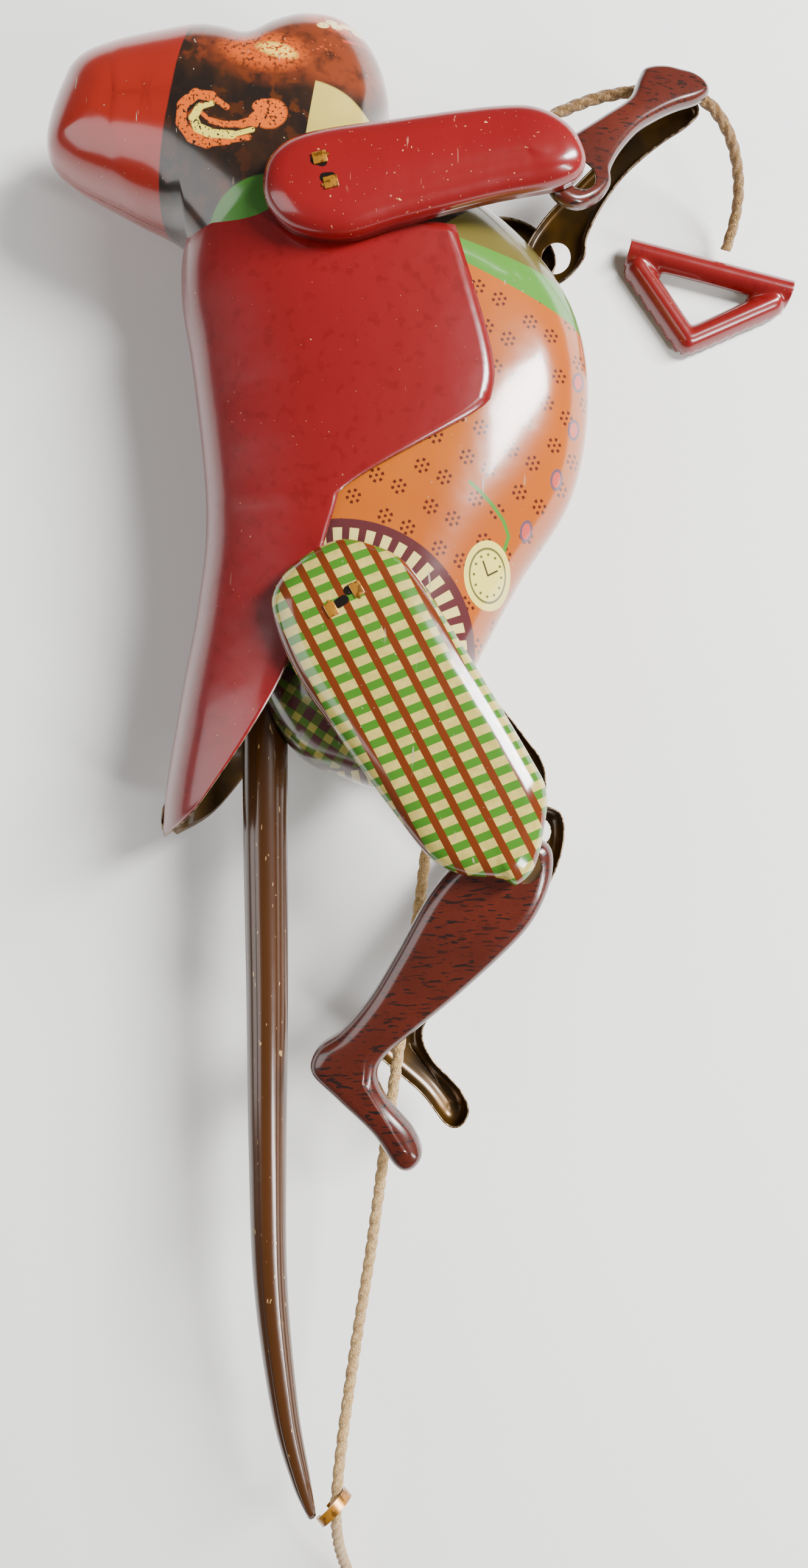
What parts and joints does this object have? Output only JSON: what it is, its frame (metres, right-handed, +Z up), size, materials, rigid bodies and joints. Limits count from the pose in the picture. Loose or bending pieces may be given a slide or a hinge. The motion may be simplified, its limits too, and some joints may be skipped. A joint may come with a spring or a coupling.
{
  "type": "tin climbing monkey toy",
  "caption": "Tin toy monkey with hinged arms and legs that climbs a pull string, lying on its side with its string and pull handles.",
  "frame": {"origin": "centre of the toy's footprint, on the surface it lies on", "axes": "+Y from the feet to the head, +X to the toy's front, +Z up through its right side"},
  "size_m": [0.179, 0.4893, 0.06],
  "materials": {
    "body_tin": "litho printed tinplate under gloss lacquer",
    "coat_tin": "red lacquered tinplate",
    "check_tin": "checked litho printed tinplate",
    "fur_tin": "fur printed tinplate, bronze lacquer inside",
    "tail_tin": "brown lacquered rolled tinplate",
    "lacquered_steel": "bronze lacquered sheet steel",
    "spring_wire": "bare spring wire",
    "jute": "twisted jute string"
  },
  "bodies": {
    "trunk": {"body_shell_right": "body_tin", "coat_right": "coat_tin", "body_shell_left": "body_tin", "coat_left": "coat_tin", "tail_loop": "lacquered_steel", "return_spring": "spring_wire", "spring_anchor_pin": "spring_wire", "tail": "tail_tin", "string_middle": "jute", "string_lower": "jute", "string_end": "jute", "string_hank": "jute", "hank_tie": "jute", "handle_lower": "coat_tin"},
    "arms": {"shoulder_tube": "lacquered_steel", "sleeve_right": "coat_tin", "sleeve_left": "coat_tin", "forearm_right": "fur_tin", "forearm_left": "fur_tin", "string_upper": "jute", "handle_upper": "coat_tin"},
    "legs": {"hip_tube": "lacquered_steel", "hip_lever": "spring_wire", "thigh_right": "check_tin", "thigh_left": "check_tin", "shin_right": "fur_tin", "shin_left": "fur_tin"}
  },
  "joints": [
    {"name": "arms_swing", "type": "hinge", "parent": "trunk", "child": "arms", "pos_m": [-0.0245, 0.1979, 0.03], "axis": [0, 0, 1], "range_deg": [-22, 30]},
    {"name": "legs_swing", "type": "hinge", "parent": "trunk", "child": "legs", "pos_m": [-0.0207, 0.1105, 0.03], "axis": [0, 0, 1], "range_deg": [-15, 35], "deforming": ["return_spring"]}
  ]
}
